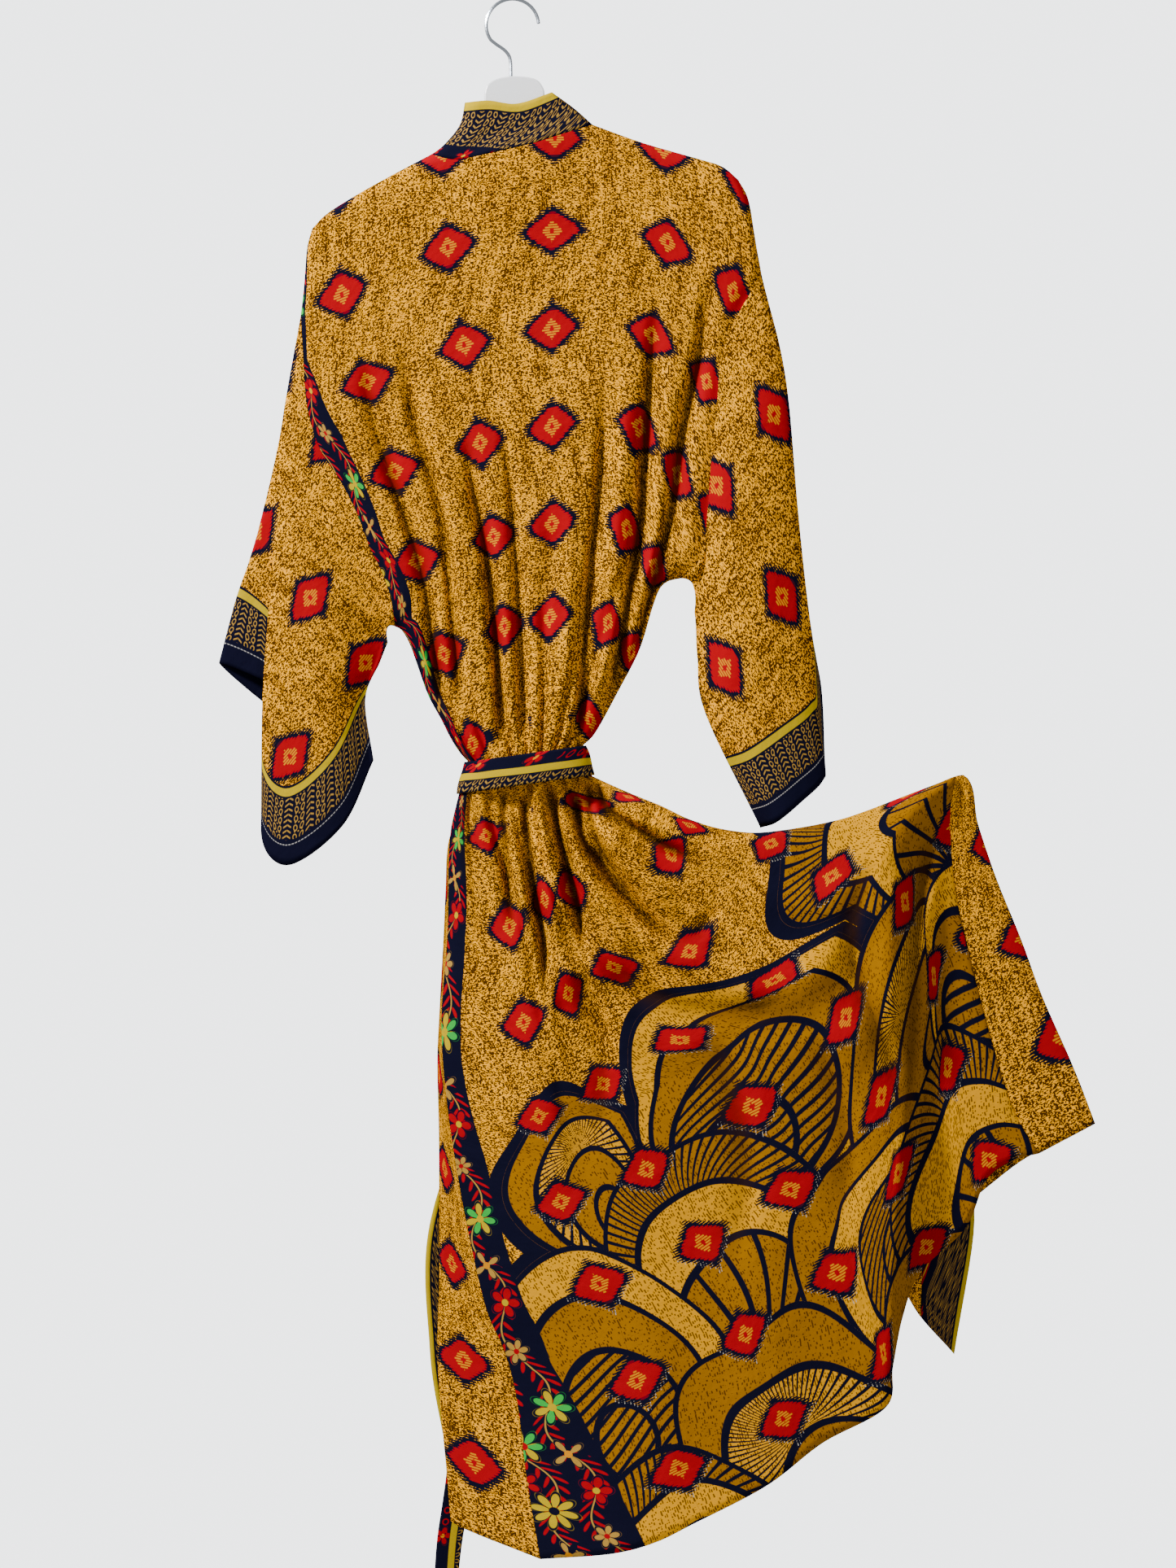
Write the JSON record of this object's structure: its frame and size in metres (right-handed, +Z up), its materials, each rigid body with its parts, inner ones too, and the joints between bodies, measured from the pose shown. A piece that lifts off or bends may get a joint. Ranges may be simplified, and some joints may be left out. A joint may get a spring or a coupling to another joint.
{
  "type": "kimono duster on hanger",
  "caption": "Kimono-style duster robe with wide sleeves and a tied waist sash, on a clothes hanger.",
  "frame": {"origin": "inside of the crown of the hanger's hook, where a rail carries it", "axes": "+Z up, +X to the wearer's right, -Y towards whoever looks at the garment's back"},
  "size_m": [0.8601, 0.1343, 1.5793],
  "materials": {
    "ochre_cloth": "soft printed viscose, ochre with navy and red motifs",
    "navy_band": "soft printed viscose, navy border",
    "white_plastic": "moulded, satin",
    "bright_wire": "plated wire"
  },
  "bodies": {
    "root": {"back": "ochre_cloth", "front_left": "ochre_cloth", "front_right": "ochre_cloth", "sleeve_left": "ochre_cloth", "sleeve_right": "ochre_cloth", "collar": "navy_band", "front_band_left": "navy_band", "front_band_right": "navy_band", "sash": "navy_band", "sash_knot": "navy_band", "sash_tail_long": "navy_band", "sash_tail_short": "navy_band", "hanger_body": "white_plastic", "hanger_hook": "bright_wire"}
  },
  "joints": []
}
